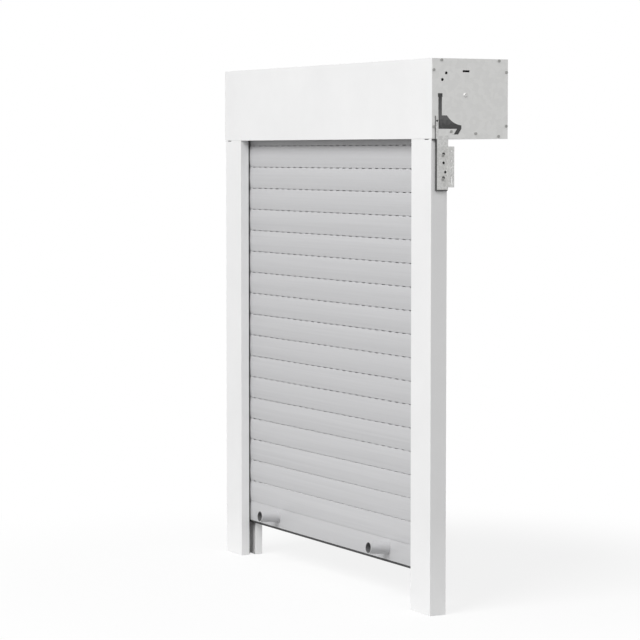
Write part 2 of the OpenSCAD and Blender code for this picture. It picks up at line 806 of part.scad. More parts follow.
// Rubber pads that fill the step between the rail's side and the bracket, with an edge up the
// front of the side plate and of the tongue
module bracket_pads() {
    pad_y = bracket_y - pad_margin;
    pad_low = -bracket_bottom - pad_margin;
    strip_y = tongue_y - pad_tongue_margin;
    color(rubber) at_datum() both_sides() difference() {
        translate([0, 0, box_z]) union() {
            along_x(rail_outer_x, box_w / 2) {
                translate([pad_y, pad_low]) square([wall_y - pad_y, -rail_top_gap - pad_low]);
                translate([panel_t, -rail_top_gap - pad_tab_h]) square([pad_y, pad_tab_h]);
            }
            along_x(box_w / 2, box_w / 2 + bracket_t) {
                translate([pad_y, pad_low]) square([pad_margin, -pad_low]);
                translate([strip_y, -pad_tab_h]) square([bracket_y - strip_y, pad_tab_h]);
                translate([strip_y, -pad_tab_h])
                    square([pad_tongue_margin, pad_tab_h + tongue_h]);
            }
        }
        rail_side_holes();
    }
}

// Socket screws whose heads lie sunk in the bracket's holes
module bracket_screw(p, len, head_r) {
    difference() {
        union() {
            rod_x(box_w / 2 - len, box_w / 2 + bracket_t / 2, bracket_screw_r, p);
            rod_x(box_w / 2, box_w / 2 + bracket_t, head_r, p);
        }
        translate([box_w / 2 + bracket_t / 2, p[0], p[1]]) rotate([0, 90, 0])
            cylinder(r = head_r / 2, h = bracket_t, $fn = 6);
    }
}

// Pan-head bolts that the keyholes hang on
module bracket_bolts() {
    color(steel) at_datum() both_sides() for (p = bolt_points)
        pan_screw(box_w / 2 + bracket_t, bracket_screw_r, [p[0], box_z - p[1]],
                  bracket_t + bracket_screw_len);
}

module bracket_screws() {
    color(rubber) at_datum() both_sides() {
        for (p = bracket_screw_points)
            bracket_screw([p[0], box_z - p[1]], bracket_screw_len, bracket_head_r);
        bracket_screw([tongue_screw[0], box_z + tongue_screw[1]], plate_t + bracket_t, tongue_head_r);
    }
}

// Rubber grommet that the motor's cable leaves the box through

function grommet_place() = [-box_w / 2 + grommet_x, box_d - panel_t / 2, box_z + grommet_z];

module cable_grommet() {
    color(rubber) at_datum() translate(grommet_place()) rotate([-90, 0, 0]) difference() {
        union() {
            cylinder(r = grommet_neck_r, h = panel_t, center = true);
            for (end = [-1, 1])
                translate([0, 0, end * (panel_t + grommet_flange_t) / 2])
                    cylinder(r = grommet_r, h = grommet_flange_t, center = true);
        }
        cylinder(r = cable_r, h = 3 * (panel_t + grommet_flange_t), center = true);
    }
}

// Roller, idler and motor

module roller_tube() {
    color(galvanised) at_datum() difference() {
        octagon_bar(-tube_x, tube_x, tube_sw);
        octagon_bar(-tube_x - overlap, tube_x + overlap, tube_in_sw);
    }
}

module idler_plug() {
    color(dark_plastic) at_datum() difference() {
        union() {
            octagon_bar(tube_x - plug_len, tube_x + overlap, tube_in_sw - 2 * fitting_clear);
            octagon_bar(tube_x, tube_x + plug_collar_t, tube_sw);
        }
        on_axis(tube_x - pin_grip) cylinder(r = pin_r + press_clear, h = pin_grip + tube_end_gap);
    }
}

module idler_pin() {
    color(steel) at_datum()
        on_axis(tube_x - pin_grip) cylinder(r = pin_r, h = bearing_x + bearing_w - tube_x + pin_grip);
}

// One bearing ring, with a groove that the balls run in
module bearing_ring(inner, outer) {
    on_axis(bearing_x) difference() {
        cylinder(r = outer, h = bearing_w);
        translate([0, 0, -overlap]) cylinder(r = inner, h = bearing_w + 2 * overlap);
        translate([0, 0, bearing_w / 2]) rotate_extrude() translate([ball_ring_r, 0]) circle(groove_r);
    }
}

module bearing_inner_ring() {
    color(steel) at_datum() bearing_ring(pin_r + press_clear, ball_ring_r - race_gap / 2);
}

module bearing_outer_ring() {
    color(steel) at_datum() bearing_ring(ball_ring_r + race_gap / 2, bearing_r);
}

// The places of the balls round the pin
module each_ball() {
    on_axis(bearing_x) for (i = [0:ball_n - 1])
        rotate(i * 360 / ball_n) translate([ball_ring_r, 0, bearing_w / 2]) children();
}

module bearing_balls() {
    color(steel) at_datum() each_ball() sphere(r = ball_r);
}

module bearing_cage() {
    cage_t = race_gap / 2;
    color(brass) at_datum() difference() {
        on_axis(bearing_x + (bearing_w - cage_w) / 2) difference() {
            cylinder(r = ball_ring_r + cage_t / 2, h = cage_w);
            translate([0, 0, -overlap]) cylinder(r = ball_ring_r - cage_t / 2, h = cage_w + 2 * overlap);
        }
        each_ball() rotate([0, 90, 0])
            cylinder(r = ball_r + fitting_clear, h = 2 * race_gap, center = true);
    }
}

// Cup that carries the bearing, with a stud riveted through the end plate
module bearing_holder() {
    color(steel) at_datum() {
        on_axis(bearing_x) difference() {
            cylinder(r = bearing_r + holder_wall, h = bearing_w + holder_base);
            translate([0, 0, -overlap]) cylinder(r = bearing_r + press_clear, h = bearing_w + overlap);
            cylinder(r = ball_ring_r, h = bearing_w + end_clear);
        }
        on_axis(plate_x - overlap) cylinder(r = stud_r, h = plate_t + overlap);
        on_axis(box_w / 2) cylinder(r1 = stud_r + stud_taper, r2 = stud_r - stud_taper, h = stud_h);
    }
}

module motor_bracket() {
    color(steel) at_datum() difference() {
        translate([-plate_x, roller_y - motor_plate_w / 2, axis_z - motor_plate_w / 2])
            cube([motor_plate_t, motor_plate_w, motor_plate_w]);
        mirror([1, 0, 0]) for (p = motor_screw_points)
            rod_x(plate_x - 2 * motor_plate_t, plate_x + overlap,
                  screw_r + fitting_clear, [p[0], box_z + p[1]]);
    }
}

module motor_head() {
    color(motor_grey) at_datum()
        on_axis(-plate_x + motor_plate_t) cylinder(r = motor_head_r, h = motor_head_len);
}

module motor_housing() {
    color(galvanised) at_datum() on_axis(motor_x) difference() {
        cylinder(r = motor_r, h = motor_len);
        translate([0, 0, -overlap]) cylinder(r = motor_r - motor_wall, h = motor_len + 2 * overlap);
    }
}

// Winding pack and brake, filling the case up to the gearbox
module motor_stator() {
    color(brass) at_datum() on_axis(motor_x)
        cylinder(r = motor_r - motor_wall - press_clear, h = motor_len - gearbox_len);
}

module motor_gearbox() {
    color(motor_grey) at_datum() difference() {
        on_axis(motor_end_x - gearbox_len)
            cylinder(r = motor_r - motor_wall - press_clear, h = gearbox_len);
        on_axis(motor_end_x - shaft_grip) cylinder(r = shaft_r + run_clear, h = shaft_grip + overlap);
    }
}

module motor_shaft() {
    color(steel) at_datum() on_axis(motor_end_x - shaft_grip + end_clear)
        cylinder(r = shaft_r, h = shaft_grip + wheel_gap + wheel_len - end_clear);
}

// Ring on the motor's case that lets the limit switch count the tube's turns
module limit_crown() {
    color(dark_plastic) at_datum() difference() {
        octagon_bar(-tube_x, -tube_x + wheel_len, tube_in_sw - 2 * fitting_clear);
        on_axis(-tube_x - overlap) cylinder(r = motor_r + run_clear, h = wheel_len + 2 * overlap);
    }
}

module drive_wheel() {
    wheel_x = motor_end_x + wheel_gap;
    color(dark_plastic) at_datum() difference() {
        octagon_bar(wheel_x, wheel_x + wheel_len, tube_in_sw - 2 * fitting_clear);
        on_axis(wheel_x - overlap) cylinder(r = shaft_r + press_clear, h = wheel_len + 2 * overlap);
    }
}

// Curtain, drawn as (Y, Z) from the middle of the rail slot and a slat's lower edge

// The stretch of the curved hollow section between two heights, inset from its faces
module slat_band(h, z0, z1, inset) {
    intersection() {
        translate([-slat_t, z0]) square([2 * slat_t, z1 - z0]);
        translate([edge_y - slat_t / 2 - sag(h) + slat_r, h / 2]) difference() {
            circle(slat_r - inset);
            circle(slat_r - slat_t + inset);
        }
    }
}

// The pocket that holds the next hook head below, and its mouth
module hook_pocket() {
    translate([pocket_y, hook_lip_t]) square([pocket_w, pocket_h]);
    translate([pocket_y, -overlap]) square([mouth_w, hook_lip_t + 2 * overlap]);
}

// A neck with a hook head that hangs in the pocket above a given height
module hook(root_z, pocket_z) {
    head_z = pocket_z + hook_lip_t + hook_clear;
    translate([neck_y, root_z]) square([neck_t, head_z + head_t - root_z]);
    translate([neck_y, head_z]) square([head_w, head_t]);
}

module slat_section(h, wall) {
    step_z = h - slat_step;
    difference() {
        slat_band(h, 0, h, 0);
        slat_band(h, pocket_top + wall, (h - wall) / 2, wall);
        slat_band(h, (h + wall) / 2, step_z - wall, wall);
        hook_pocket();
        translate([neck_y + neck_t, step_z]) square([slat_t, slat_step + overlap]);
    }
    hook(step_z - wall / 2, h + slat_gap);
}

// The rear lip that covers the light slits of the slat below
module rear_lip(wall) {
    translate([rear_y - wall, -rear_lip_drop]) square([wall, rear_lip_drop + hook_lip_t]);
}

module curtain_run(z) {
    translate([0, curtain_y, z]) along_x(-slat_end_x, slat_end_x) children();
}

// The row of light slits through a neck, given their upper edge. They reach down behind the
// slat's front edge
module light_slits(top_z) {
    slit_y = curtain_y + neck_y - neck_inset / 2;
    for (i = [0:slit_n - 1])
        translate([(i - (slit_n - 1) / 2) * slit_pitch - slit_len / 2, slit_y, top_z - slit_h])
            cube([slit_len, neck_inset / 2 + 2 * neck_t, slit_h]);
}

module slat(k) {
    color(light_grey) at_datum() difference() {
        curtain_run(slat_z(k)) {
            slat_section(slat_h, slat_wall);
            rear_lip(slat_wall);
        }
        light_slits(slat_z(k + 1) - slit_clear);
    }
}

module slat_end_caps() {
    peg_low = pocket_top + slat_wall + fitting_clear;
    peg_high = (slat_h - slat_wall) / 2 - fitting_clear;
    color(light_grey) at_datum() both_sides()
        for (k = [1:slat_n]) translate([0, curtain_y, slat_z(k)]) {
            along_x(slat_end_x, slat_end_x + slat_cap_t)
                slat_band(slat_h, 0, slat_h - slat_step, 0);
            along_x(slat_end_x - slat_peg_len, slat_end_x + slat_cap_t)
                slat_band(slat_h, peg_low, peg_high, slat_wall + fitting_clear);
        }
}

// The places of the two stops on the front of the bottom bar
module each_stop() {
    for (x = [-stop_x, stop_x])
        translate([x, stop_y, bar_z + stop_z]) rotate([90 - stop_tilt, 0, 0]) children();
}

module bottom_bar() {
    color(light_grey) at_datum() difference() {
        curtain_run(bar_z) slat_section(bar_h, bar_wall);
        each_stop() translate([0, 0, -slat_t / 2])
            cylinder(r = stop_screw_r + fitting_clear, h = slat_t);
    }
}

module bottom_seal() {
    color(rubber) at_datum() curtain_run(bar_z) {
        translate([edge_y, -bottom_seal_h / 2]) seal_foot();
        hook(-bottom_seal_h / 2, 0);
    }
}

// The seal's rounded foot under the bar
module seal_foot() {
    bulb_r = bottom_seal_h / 2;
    for (side = [-1, 1])
        translate([side * (bottom_seal_w / 2 - bulb_r), 0]) circle(bulb_r);
    square([bottom_seal_w - 2 * bulb_r, bottom_seal_h], center = true);
}

// Hollow stops whose closed end follows the bar's curved face
module end_stops() {
    bore_r = stop_r - stop_wall;
    color(light_grey) at_datum() difference() {
        each_stop() difference() {
            translate([0, 0, -slat_t / 2]) cylinder(r = stop_r, h = stop_len + slat_t / 2);
            translate([0, 0, stop_base]) cylinder(r = bore_r, h = stop_len);
            translate([0, 0, -slat_t]) cylinder(r = stop_screw_r + fitting_clear, h = 2 * slat_t);
        }
        translate([-slat_end_x, bar_axis_y, bar_z + bar_h / 2]) rotate([0, 90, 0])
            cylinder(r = slat_r + fitting_clear, h = 2 * slat_end_x);
    }
}

module stop_screws() {
    color(steel) at_datum() each_stop() {
        translate([0, 0, -slat_t / 2]) cylinder(r = stop_screw_r, h = stop_base + slat_t / 2);
        translate([0, 0, stop_base]) cylinder(r = 2 * stop_screw_r, h = stop_screw_r);
    }
}

// Hangers between the tube and the top slat

module each_hanger(w) {
    for (i = [0:hanger_n - 1]) {
        x = (i - (hanger_n - 1) / 2) * hanger_pitch;
        along_x(x - w / 2, x + w / 2) children();
    }
}

module hanger_clips() {
    color(dark_plastic) at_datum() translate([0, curtain_y, slat_z(slat_n + 1)])
        each_hanger(clip_w) difference() {
            translate([edge_y - slat_t / 2, 0]) square([slat_t, clip_h]);
            hook_pocket();
        }
}

// Spring steel straps, held by the clips and lying over the tube's top flat
module hanger_straps() {
    clip_y = curtain_y + edge_y;
    clip_top = slat_z(slat_n + 1) + clip_h;
    tube_top = axis_z + tube_sw / 2 + strap_clear;
    tube_edge = roller_y - tube_sw / 2 * tan(180 / 8);
    lower_line = [
        [clip_y - slat_t / 2, clip_top], [clip_y + slat_t / 2, clip_top],
        [tube_edge, tube_top], [tube_edge + strap_grip, tube_top]];
    upper_line = [for (i = [3:-1:0]) lower_line[i] + [0, strap_t]];
    color(steel) at_datum() each_hanger(strap_w) polygon(concat(lower_line, upper_line));
}

front_panel();
top_panel();
rear_panel();
bottom_cover();
left_end_plate();
right_end_plate();
plate_screws();
inlet_funnels();
left_rail();
right_rail();
rail_seals();
rail_end_caps();
wall_brackets();
bracket_pads();
bracket_bolts();
bracket_screws();
cable_grommet();
roller_tube();
idler_plug();
idler_pin();
bearing_inner_ring();
bearing_outer_ring();
bearing_balls();
bearing_cage();
bearing_holder();
motor_bracket();
motor_head();
motor_housing();
motor_stator();
motor_gearbox();
motor_shaft();
limit_crown();
drive_wheel();
hanger_straps();
hanger_clips();
bottom_bar();
bottom_seal();
end_stops();
stop_screws();
slat_end_caps();
for (k = [1:slat_n])
    slat(k);
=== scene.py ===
import json
from math import cos, radians, sin

import bmesh
import bpy
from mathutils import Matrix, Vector


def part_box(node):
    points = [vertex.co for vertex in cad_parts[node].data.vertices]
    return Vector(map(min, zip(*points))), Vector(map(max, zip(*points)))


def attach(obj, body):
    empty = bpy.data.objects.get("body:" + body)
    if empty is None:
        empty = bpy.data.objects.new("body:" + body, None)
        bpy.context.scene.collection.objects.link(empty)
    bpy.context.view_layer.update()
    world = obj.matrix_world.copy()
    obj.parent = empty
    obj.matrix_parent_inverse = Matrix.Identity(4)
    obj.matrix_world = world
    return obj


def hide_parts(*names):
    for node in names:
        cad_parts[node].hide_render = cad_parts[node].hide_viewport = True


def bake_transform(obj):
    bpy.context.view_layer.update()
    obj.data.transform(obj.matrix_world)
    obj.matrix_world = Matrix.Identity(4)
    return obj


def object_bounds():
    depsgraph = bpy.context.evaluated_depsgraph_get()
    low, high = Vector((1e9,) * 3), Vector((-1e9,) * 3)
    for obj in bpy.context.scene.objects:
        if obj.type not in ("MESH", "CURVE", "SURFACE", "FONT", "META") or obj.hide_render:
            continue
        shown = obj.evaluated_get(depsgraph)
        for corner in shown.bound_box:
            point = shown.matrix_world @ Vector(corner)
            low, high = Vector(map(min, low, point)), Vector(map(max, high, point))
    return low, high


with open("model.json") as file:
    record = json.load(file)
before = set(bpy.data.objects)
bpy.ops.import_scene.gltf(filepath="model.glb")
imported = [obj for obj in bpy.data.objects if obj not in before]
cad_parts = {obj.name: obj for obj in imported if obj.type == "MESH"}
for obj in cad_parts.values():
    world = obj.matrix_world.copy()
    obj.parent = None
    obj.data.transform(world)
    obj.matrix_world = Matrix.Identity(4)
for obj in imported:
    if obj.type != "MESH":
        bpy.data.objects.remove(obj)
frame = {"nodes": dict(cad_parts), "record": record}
cad_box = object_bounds()

# Places that the rest is worked out from, in metres in the frame of the part
SILL_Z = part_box("rail_end_caps")[0].z
FRONT_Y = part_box("front_panel")[0].y
MIDDLE_Z = (cad_box[0][2] + cad_box[1][2]) / 2

# The photograph's viewpoint
CAMERA_PLACE = Vector((6.0867, -3.2120, 0.0163))
CAMERA_YAW = radians(62.53)
CAMERA_PITCH_DOWN = radians(3.77)
CAMERA_LENS = 142.8
CAMERA_SENSOR = 36.0
# A camera's turn about X at which it looks level
LEVEL_VIEW = radians(90)

# Light: the sky gives the even part from above, the lamp the direction
SKY_LEVEL = 1.2
# The sky's share of that level at heights of a direction's unit vector
SKY_SHARES = ((0.0, 0.0), (0.4, 1.0), (1.0, 0.0))
KEY_PLACE = Vector((3.6, -8.8, 8.4))
KEY_TARGET = Vector((0, FRONT_Y, MIDDLE_Z))
KEY_SIZE = 7.0
KEY_POWER = 1280
PLAIN_WHITE = (1, 1, 1, 1)
WHITE_LEVEL = 1.0

# The floor
FLOOR_SIZE = 60.0
FLOOR_COLOUR = (0.86, 0.86, 0.86, 1)
FLOOR_ROUGHNESS = 0.9
# Its share of plain white near the object, and the distances between which it turns all white
FLOOR_GLOW = 0.8
FLOOR_FADE = (0.7, 1.6)
# What it throws back onto the object, near and far, and the reaches between which that changes
FLOOR_BOUNCE = (0.46, 0.2)
BOUNCE_FADE = (0.25, 0.6)
# The near area is long along X, as the shutter is
BOUNCE_SCALE = (0.45, 1, 0)

# The range that holds most of a noise texture's values
NOISE_RANGE = (0.3, 0.7)
NOISE_ROUGHNESS = 0.55

# Fine relief: how far a finish's roughness varies with it, and its depth in metres
PEEL_SPREAD = 0.05
PEEL_DEPTH = 0.00004
STREAK_SPREAD = 0.07
STREAK_DEPTH = 0.00003
MARKS_SPREAD = 0.08
MARKS_DEPTH = 0.00003
# Rolling marks of zinc coated sheet, to the metre along each axis
MARKS_COUNT = (60, 60, 500)
BUMP_STRENGTH = 0.5

# Patches of wear, to the metre along each axis, and how far they shift a tone
WEAR_COUNT = (90, 90, 90)
WEAR_SHIFT = 0.1

# The two stops on the bottom bar, whose front ends are tilted up
STOP_RADIUS = 0.016
STOP_WALL = 0.0029
STOP_TILT = radians(4.5)
# Painted shade in the bores, as a share of the stops' colour, and the shares of the wall's
# thickness between which the one turns into the other
BORE_PAINTED_SHADE = 0.3
BORE_EDGE = (0.3, 0.7)

# Hanger straps
STRAP_COUNT = 3
STRAP_WIDTH = 0.025
STRAP_THICKNESS = 0.0008
STRAP_STEPS = 24
# Room that the straps leave for the turning corners of their own winding
WINDING_CLEAR = 0.0002
TUBE_SIDES = 8
HALF_SIDE = radians(180 / TUBE_SIDES)


def add_object(name, data):
    """A new object in the scene."""
    item = bpy.data.objects.new(name, data)
    bpy.context.scene.collection.objects.link(item)
    return item


# Colours

def grey(level):
    return (level, level, level)


def shade(colour, factor):
    return tuple(channel * factor for channel in colour)


def noise_shades(colour, vary):
    """Stops from a little below a colour to a little above it over a noise's range."""
    return list(zip(NOISE_RANGE, (shade(colour, 1 - vary), shade(colour, 1 + vary))))


# Node helpers

def new_material(name):
    """A node material with its tree and its Principled shader."""
    material = bpy.data.materials.new(name)
    material.use_nodes = True
    tree = material.node_tree
    return material, tree, tree.nodes["Principled BSDF"]


def part_coords(tree):
    """The part's own coordinates."""
    return tree.nodes.new("ShaderNodeTexCoord").outputs["Object"]


def stretched_coords(tree, scale):
    """The part's own coordinates, scaled along each axis."""
    mapping = tree.nodes.new("ShaderNodeMapping")
    mapping.inputs["Scale"].default_value = scale
    tree.links.new(part_coords(tree), mapping.inputs["Vector"])
    return mapping.outputs["Vector"]


def noise(tree, count, detail=4.0):
    """A noise value, with a count of patches to the metre along each axis."""
    node = tree.nodes.new("ShaderNodeTexNoise")
    node.inputs["Scale"].default_value = 1.0
    node.inputs["Detail"].default_value = detail
    node.inputs["Roughness"].default_value = NOISE_ROUGHNESS
    tree.links.new(stretched_coords(tree, count), node.inputs["Vector"])
    return node.outputs["Fac"]


def ramp(tree, value, stops):
    """A colour that follows a value through stops of (value, colour), in order."""
    node = tree.nodes.new("ShaderNodeValToRGB")
    elements = node.color_ramp.elements
    for position, _ in stops[1:-1]:
        elements.new(position)
    for element, (position, colour) in zip(elements, stops):
        element.position = position
        element.color = (*colour, 1)
    tree.links.new(value, node.inputs["Fac"])
    return node.outputs["Color"]


def map_range(tree, value, source, target=(0, 1), change="LINEAR"):
    """A value's source range mapped to a target range, and held beyond its ends."""
    node = tree.nodes.new("ShaderNodeMapRange")
    node.interpolation_type = change
    node.inputs["From Min"].default_value, node.inputs["From Max"].default_value = source
    node.inputs["To Min"].default_value, node.inputs["To Max"].default_value = target
    tree.links.new(value, node.inputs["Value"])
    return node.outputs["Result"]


def vector_math(tree, operation, vector, other=(0, 0, 0)):
    """The outputs of an operation on a linked vector and a fixed one."""
    node = tree.nodes.new("ShaderNodeVectorMath")
    node.operation = operation
    node.inputs[1].default_value = other
    tree.links.new(vector, node.inputs[0])
    return node.outputs


def mix_shaders(tree, share, first, second):
    """The first shader, with a share of the second."""
    node = tree.nodes.new("ShaderNodeMixShader")
    tree.links.new(share, node.inputs["Fac"])
    tree.links.new(first, node.inputs[1])
    tree.links.new(second, node.inputs[2])
    return node.outputs["Shader"]


def relief(tree, shader, height, roughness, spread, depth):
    """Fine bumps from a noise value, and a roughness that varies with them."""
    rough = map_range(tree, height, NOISE_RANGE, (roughness - spread, roughness + spread))
    tree.links.new(rough, shader.inputs["Roughness"])
    bump = tree.nodes.new("ShaderNodeBump")
    bump.inputs["Distance"].default_value = depth
    bump.inputs["Strength"].default_value = BUMP_STRENGTH
    tree.links.new(height, bump.inputs["Height"])
    tree.links.new(bump.outputs["Normal"], shader.inputs["Normal"])


def peel_surface(tree, shader, roughness, grain):
    """A fine orange-peel surface, with grain bumps to the metre."""
    peel = noise(tree, (grain, grain, grain), detail=2)
    relief(tree, shader, peel, roughness, PEEL_SPREAD, PEEL_DEPTH)


# Materials

def coated(name, colour, roughness, vary=0.02, cloud=6, grain=900):
    """Powder coat or moulded plastic: an even colour with a fine orange-peel surface."""
    material, tree, shader = new_material(name)
    clouds = noise(tree, (cloud, cloud, cloud))
    tree.links.new(ramp(tree, clouds, noise_shades(colour, vary)), shader.inputs["Base Color"])
    peel_surface(tree, shader, roughness, grain)
    return material


def drawn(name, colour, roughness, metallic=0.0, vary=0.03, streak=(3, 700, 700)):
    """A drawn or extruded surface, with fine streaks along its run."""
    material, tree, shader = new_material(name)
    streaks = noise(tree, streak, detail=5)
    tree.links.new(ramp(tree, streaks, noise_shades(colour, vary)), shader.inputs["Base Color"])
    shader.inputs["Metallic"].default_value = metallic
    relief(tree, shader, streaks, roughness, STREAK_SPREAD, STREAK_DEPTH)
    return material


def galvanised(name, colour, roughness=0.45, metallic=0.6, cell=90, vary=0.02):
    """Zinc coated sheet: pale crystal patches with fine rolling marks."""
    material, tree, shader = new_material(name)
    crystals = tree.nodes.new("ShaderNodeTexVoronoi")
    crystals.inputs["Scale"].default_value = cell
    tree.links.new(part_coords(tree), crystals.inputs["Vector"])
    tone = tree.nodes.new("ShaderNodeSeparateColor")
    tree.links.new(crystals.outputs["Color"], tone.inputs["Color"])
    patches = ramp(tree, tone.outputs["Red"], noise_shades(colour, vary))
    tree.links.new(patches, shader.inputs["Base Color"])
    shader.inputs["Metallic"].default_value = metallic
    marks = noise(tree, MARKS_COUNT)
    relief(tree, shader, marks, roughness, MARKS_SPREAD, MARKS_DEPTH)
    return material


def bored(name, colour, roughness, grain):
    """The stops' plastic, with painted shade inside the tilted bores on the left and right."""
    material, tree, shader = new_material(name)
    low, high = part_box("end_stops")
    middle = (low + high) / 2
    # The distance from a bore's axis, with the tilt taken out and the left side mirrored
    level = tree.nodes.new("ShaderNodeVectorRotate")
    level.rotation_type = "X_AXIS"
    level.inputs["Center"].default_value = middle
    level.inputs["Angle"].default_value = STOP_TILT
    tree.links.new(part_coords(tree), level.inputs["Vector"])
    mirrored = vector_math(tree, "ABSOLUTE", level.outputs["Vector"])["Vector"]
    across = vector_math(tree, "MULTIPLY", mirrored, (1, 0, 1))["Vector"]
    bore = (high.x - STOP_RADIUS, 0, abs(middle.z))
    reach = vector_math(tree, "DISTANCE", across, bore)["Value"]
    wall = map_range(tree, reach, (STOP_RADIUS - STOP_WALL, STOP_RADIUS))
    # Painted shade: the bores darker than the rest of the stops
    stops = list(zip(BORE_EDGE, (shade(colour, BORE_PAINTED_SHADE), colour)))
    tree.links.new(ramp(tree, wall, stops), shader.inputs["Base Color"])
    peel_surface(tree, shader, roughness, grain)
    return material


def painted_light_by_height(name, tones, heights, roughness, grain=700):
    """Plastic or rubber whose grey follows painted shade and light between two heights, with
    random patches.
    """
    material, tree, shader = new_material(name)
    axes = tree.nodes.new("ShaderNodeSeparateXYZ")
    tree.links.new(part_coords(tree), axes.inputs["Vector"])
    shift = map_range(tree, noise(tree, WEAR_COUNT), NOISE_RANGE, (-WEAR_SHIFT, WEAR_SHIFT))
    height_and_patches = tree.nodes.new("ShaderNodeMath")
    height_and_patches.operation = "ADD"
    # Painted shade and light: the grey follows the height between the two heights given
    tree.links.new(map_range(tree, axes.outputs["Z"], heights), height_and_patches.inputs[0])
    tree.links.new(shift, height_and_patches.inputs[1])
    stops = [(i / (len(tones) - 1), grey(tone)) for i, tone in enumerate(tones)]
    tree.links.new(ramp(tree, height_and_patches.outputs["Value"], stops), shader.inputs["Base Color"])
    peel_surface(tree, shader, roughness, grain)
    return material


WHITE = grey(0.9)
SLAT_GREY = (0.568, 0.568, 0.578)

# Greys of the funnels at even steps from their low end up, as painted shade and light, darkest
# at the top
FUNNEL_PAINTED_SHADING = (0.05, 0.055, 0.13, 0.11, 0.085, 0.03)
FUNNEL_HEIGHTS = [corner.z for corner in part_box("inlet_funnels")]
# Greys of the strips in the rails: painted light, pale near the sill, and the dark rubber
# further up, and the heights above the sill between which the one turns into the other
STRIP_PAINTED_LIGHT_AND_RUBBER = (0.45, 0.06)
STRIP_HEIGHTS = [SILL_Z + rise for rise in (0.06, 0.1)]

FINISHES = {
    "white_lacquer": (coated, dict(colour=WHITE, roughness=0.38)),
    "white_plastic": (coated, dict(colour=shade(WHITE, 0.97), roughness=0.5, grain=500)),
    "slat_plastic": (drawn, dict(colour=SLAT_GREY, roughness=0.42, vary=0.045,
                                 streak=(1.5, 160, 160))),
    "stop_plastic": (bored, dict(colour=SLAT_GREY, roughness=0.45, grain=500)),
    "bar_aluminium": (drawn, dict(colour=shade(SLAT_GREY, 0.96), roughness=0.38, vary=0.025)),
    "galvanised_sheet": (galvanised, dict(colour=(0.695, 0.695, 0.685))),
    "bracket_zinc": (galvanised, dict(colour=(0.64, 0.64, 0.63), roughness=0.55, cell=260,
                                      vary=0.07)),
    "stud_zinc": (galvanised, dict(colour=(0.66, 0.66, 0.65), roughness=0.6, cell=400,
                                   vary=0.04)),
    "zinc_steel": (drawn, dict(colour=(0.38, 0.38, 0.37), roughness=0.45, metallic=0.9,
                               streak=(300, 300, 300))),
    "spring_steel": (drawn, dict(colour=(0.33, 0.34, 0.36), roughness=0.3, metallic=1.0,
                                 streak=(900, 60, 60))),
    "bearing_steel": (drawn, dict(colour=(0.55, 0.56, 0.58), roughness=0.2, metallic=1.0,
                                  streak=(900, 90, 90))),
    "cage_brass": (drawn, dict(colour=(0.62, 0.44, 0.17), roughness=0.35, metallic=1.0,
                               streak=(200, 200, 200))),
    "black_steel": (drawn, dict(colour=(0.025, 0.026, 0.027), roughness=0.45, metallic=0.5,
                                streak=(400, 400, 400))),
    "motor_core": (drawn, dict(colour=(0.35, 0.15, 0.05), roughness=0.4, metallic=0.8,
                               streak=(500, 40, 40))),
    "motor_plastic": (coated, dict(colour=(0.10, 0.105, 0.115), roughness=0.5, vary=0.08)),
    "dark_plastic": (coated, dict(colour=(0.066, 0.070, 0.068), roughness=0.5, vary=0.25,
                                  cloud=40, grain=700)),
    "funnel_plastic": (painted_light_by_height, dict(tones=FUNNEL_PAINTED_SHADING, heights=FUNNEL_HEIGHTS, roughness=0.5)),
    "seal_rubber": (painted_light_by_height, dict(tones=STRIP_PAINTED_LIGHT_AND_RUBBER, heights=STRIP_HEIGHTS, roughness=0.7)),
    "pad_rubber": (coated, dict(colour=grey(0.08), roughness=0.65, vary=0.1, grain=600)),
    "black_rubber": (coated, dict(colour=(0.03, 0.03, 0.031), roughness=0.65, vary=0.1,
                                  grain=600)),
}
MATERIALS = {name: make(name, **look) for name, (make, look) in FINISHES.items()}

# Nodes whose finish differs from the rest of their slot
OWN_FINISH = {
    "wall_brackets": "bracket_zinc",
    "bearing_holder": "stud_zinc",
    "bracket_pads": "pad_rubber",
    "end_stops": "stop_plastic",
    "inlet_funnels": "funnel_plastic",
}


def dress_nodes():
    """Gives every CAD node the material of its slot in the record, or its own finish."""
    for entry in frame["record"]["subparts"]:
        slots = frame["nodes"][entry["node"]].data.materials
        slots.clear()
        slots.append(MATERIALS[OWN_FINISH.get(entry["node"], entry["material_slot"])])


# Hanger straps

def winding():
    """The roller's axis as (y, z), and how far the flats of a wound strap stand from it."""
    low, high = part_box("roller_tube")
    middle = (low + high) / 2
    return middle.yz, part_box("hanger_straps")[1].z - middle.z


def strap_line():
    """A free strap's middle line as (y, z): flat on a clip, then a bend to the winding."""
    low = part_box("hanger_straps")[0]
    low_z = low.z + STRAP_THICKNESS / 2
    bend_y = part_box("hanger_clips")[1].y
    axis, flat = winding()
    reach = flat / cos(HALF_SIDE) + WINDING_CLEAR + STRAP_THICKNESS / 2
    top_y, top_z = axis + Vector((-sin(HALF_SIDE), cos(HALF_SIDE))) * reach
    line = [Vector((low.y, low_z))]
    for i in range(STRAP_STEPS + 1):
        run = i / STRAP_STEPS
        # An even curve that is level at both ends
        rise = run * run * (3 - 2 * run)
        y = bend_y + run * (top_y - bend_y)
        z = low_z + rise * (top_z - low_z)
        line.append(Vector((y, z)))
    return line


def add_ring(mesh, x, inner, outer):
    """The corners of a strap's section, from the (y, z) of its inner and outer side."""
    left = x - STRAP_WIDTH / 2
    right = x + STRAP_WIDTH / 2
    corners = ((left, *inner), (right, *inner), (right, *outer), (left, *outer))
    return [mesh.verts.new(corner) for corner in corners]


def join_rings(mesh, ring, following):
    """The faces between two sections of a strap."""
    for i in range(len(ring)):
        mesh.faces.new((ring[i], ring[i - 1], following[i - 1], following[i]))


